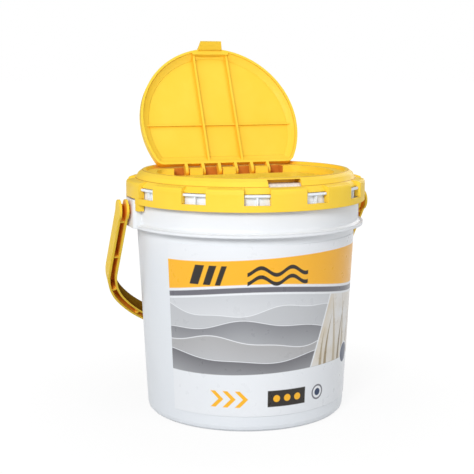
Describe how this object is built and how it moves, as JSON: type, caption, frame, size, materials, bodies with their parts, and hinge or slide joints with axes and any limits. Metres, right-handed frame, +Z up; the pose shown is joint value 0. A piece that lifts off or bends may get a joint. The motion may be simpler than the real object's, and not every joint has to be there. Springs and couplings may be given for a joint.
{
  "type": "fish transport container",
  "caption": "Insulated bait pail with a foam liner, a pull-off lid ring, a hinged D-shaped hatch and a swinging carrying handle.",
  "frame": {"origin": "centre of the pail's foot, in the plane it stands on", "axes": "+Z up; the latch faces -Y; the hatch's hinge is at +Y; the handle turns about an axis along X"},
  "size_m": [0.262, 0.241, 0.3693],
  "materials": {
    "pail_plastic": "satin",
    "liner_foam": "matte",
    "label_film": "satin",
    "lid_plastic": "satin"
  },
  "bodies": {
    "pail": {"pail": "pail_plastic", "foam_liner": "liner_foam", "label": "label_film"},
    "lid": {"lid_ring": "lid_plastic"},
    "hatch": {"hatch": "lid_plastic"},
    "bail": {"bail": "lid_plastic"}
  },
  "joints": [
    {"name": "lid_pull_off", "type": "slide", "parent": "pail", "child": "lid", "axis": [0, 0, 1], "range_m": [0, 0.05]},
    {"name": "hatch_hinge", "type": "hinge", "parent": "lid", "child": "hatch", "pos_m": [0, 0.0545, 0.234], "axis": [1, 0, 0], "range_deg": [0, 116.4]},
    {"name": "bail_swing", "type": "hinge", "parent": "pail", "child": "bail", "pos_m": [0, 0, 0.205], "axis": [1, 0, 0], "range_deg": [0, 95]}
  ]
}
